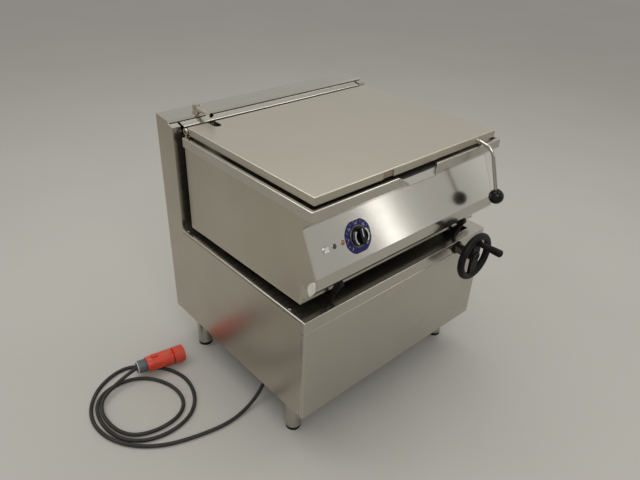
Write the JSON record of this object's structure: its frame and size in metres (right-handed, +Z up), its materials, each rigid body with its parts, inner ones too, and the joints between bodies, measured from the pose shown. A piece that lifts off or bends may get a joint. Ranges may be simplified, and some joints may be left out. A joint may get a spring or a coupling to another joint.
{
  "type": "tilting bratt pan",
  "caption": "Electric tilting bratt pan on a floor stand: lidded rectangular tub with control console, geared to a crank handwheel, with rear upstand, filling spout and loose supply cord",
  "frame": {"origin": "on the floor, midway across the stand and midway between the crank grip's front end and the back panel", "axes": "+X to the right seen from the front, +Y from the front to the back, +Z up"},
  "size_m": [1.2381, 0.8606, 0.878],
  "materials": {
    "stainless_panel": "brushed stainless sheet",
    "stainless_lid": "brushed stainless sheet",
    "stainless_tub": "ground stainless plate",
    "stainless_tube": "drawn stainless tube",
    "galvanised_steel": "zinc plated",
    "chrome": "polished",
    "bronze": "turned bronze",
    "brass": "turned brass",
    "cast_iron": "as cast, painted",
    "mineral_wool": "fibrous slab",
    "black_plastic": "black moulded thermoset",
    "grey_plastic": "grey moulded",
    "white_plastic": "white moulded",
    "red_plastic": "red moulded",
    "blue_dial": "printed blue dial plate",
    "orange_lens": "clear orange lens",
    "green_lens": "clear green lens",
    "cord_rubber": "matt rubber sheath"
  },
  "bodies": {
    "stand": {"side_panel_left": "stainless_panel", "side_panel_right": "stainless_panel", "front_panel": "stainless_panel", "back_panel": "stainless_panel", "deck": "stainless_panel", "upstand_front": "stainless_panel", "upstand_cap": "stainless_panel", "base_frame": "galvanised_steel", "base_floor": "galvanised_steel", "leg_front_left": "stainless_tube", "leg_front_right": "stainless_tube", "leg_rear_left": "stainless_tube", "leg_rear_right": "stainless_tube", "levelling_feet": "black_plastic", "spout_stub": "chrome", "spout_tube": "chrome", "frame_screws": "chrome", "cable_gland": "grey_plastic", "terminal_box": "grey_plastic", "pivot_brackets": "galvanised_steel", "front_bush": "stainless_tube", "rear_bearing": "cast_iron", "cord": "cord_rubber", "plug_gland": "grey_plastic", "plug_body": "red_plastic", "plug_sleeve": "red_plastic", "plug_pins": "brass"},
    "pan": {"tub": "stainless_tub", "insulation": "mineral_wool", "heating_elements": "stainless_tube", "rim_frame": "stainless_panel", "casing_left": "stainless_panel", "casing_right": "stainless_panel", "casing_tray": "stainless_panel", "casing_back": "stainless_panel", "control_panel": "stainless_panel", "console_band": "stainless_panel", "console_end_caps": "white_plastic", "dial_plate": "blue_dial", "lamp_orange": "orange_lens", "lamp_green": "green_lens", "reset_cap": "white_plastic", "thermostat": "grey_plastic", "tilt_arms": "galvanised_steel", "pivot_pins": "chrome", "tilt_lever": "galvanised_steel", "casing_screws": "chrome"},
    "knob": {"control_knob": "black_plastic", "knob_ring": "chrome"},
    "lid": {"lid_skin": "stainless_lid", "lid_apron": "stainless_lid", "lid_handle": "chrome", "lid_ball": "black_plastic", "lid_hinge_pins": "chrome"},
    "crank": {"handwheel": "black_plastic", "spindle": "chrome", "grip_bolt": "chrome"},
    "grip": {"grip": "black_plastic"},
    "nut": {"drive_nut": "bronze"},
    "link": {"drive_link": "galvanised_steel"}
  },
  "joints": [
    {"name": "pan_tilt", "type": "hinge", "parent": "stand", "child": "pan", "pos_m": [0, -0.25975, 0.56], "axis": [1, 0, 0], "range_deg": [0, 60]},
    {"name": "lid_hinge", "type": "hinge", "parent": "pan", "child": "lid", "pos_m": [0, 0.31025, 0.832], "axis": [-1, 0, 0], "range_deg": [0, 90]},
    {"name": "knob_turn", "type": "hinge", "parent": "pan", "child": "knob", "pos_m": [-0.214, -0.25977, 0.68656], "axis": [0, -0.9089, 0.4169], "range_deg": [0, 270]},
    {"name": "handwheel_turn", "type": "hinge", "parent": "stand", "child": "crank", "pos_m": [0.25, -0.33975, 0.475], "axis": [0, 1, 0], "range_deg": [0, 4060]},
    {"name": "grip_spin", "type": "hinge", "parent": "crank", "child": "grip", "pos_m": [0.25, -0.38975, 0.526], "axis": [0, 1, 0], "continuous": true},
    {"name": "nut_slide", "type": "slide", "parent": "stand", "child": "nut", "axis": [0, 1, 0], "range_m": [0, 0.0565]},
    {"name": "link_swing", "type": "hinge", "parent": "nut", "child": "link", "pos_m": [0.301, -0.12425, 0.475], "axis": [-1, 0, 0], "range_deg": [0, 28.6]}
  ],
  "couplings": [
    {"joint": "handwheel_turn", "follows": "pan_tilt", "ratio": 67.4},
    {"joint": "nut_slide", "follows": "pan_tilt", "m_per_rad": 0.05367},
    {"joint": "link_swing", "follows": "pan_tilt", "ratio": 0.473}
  ]
}
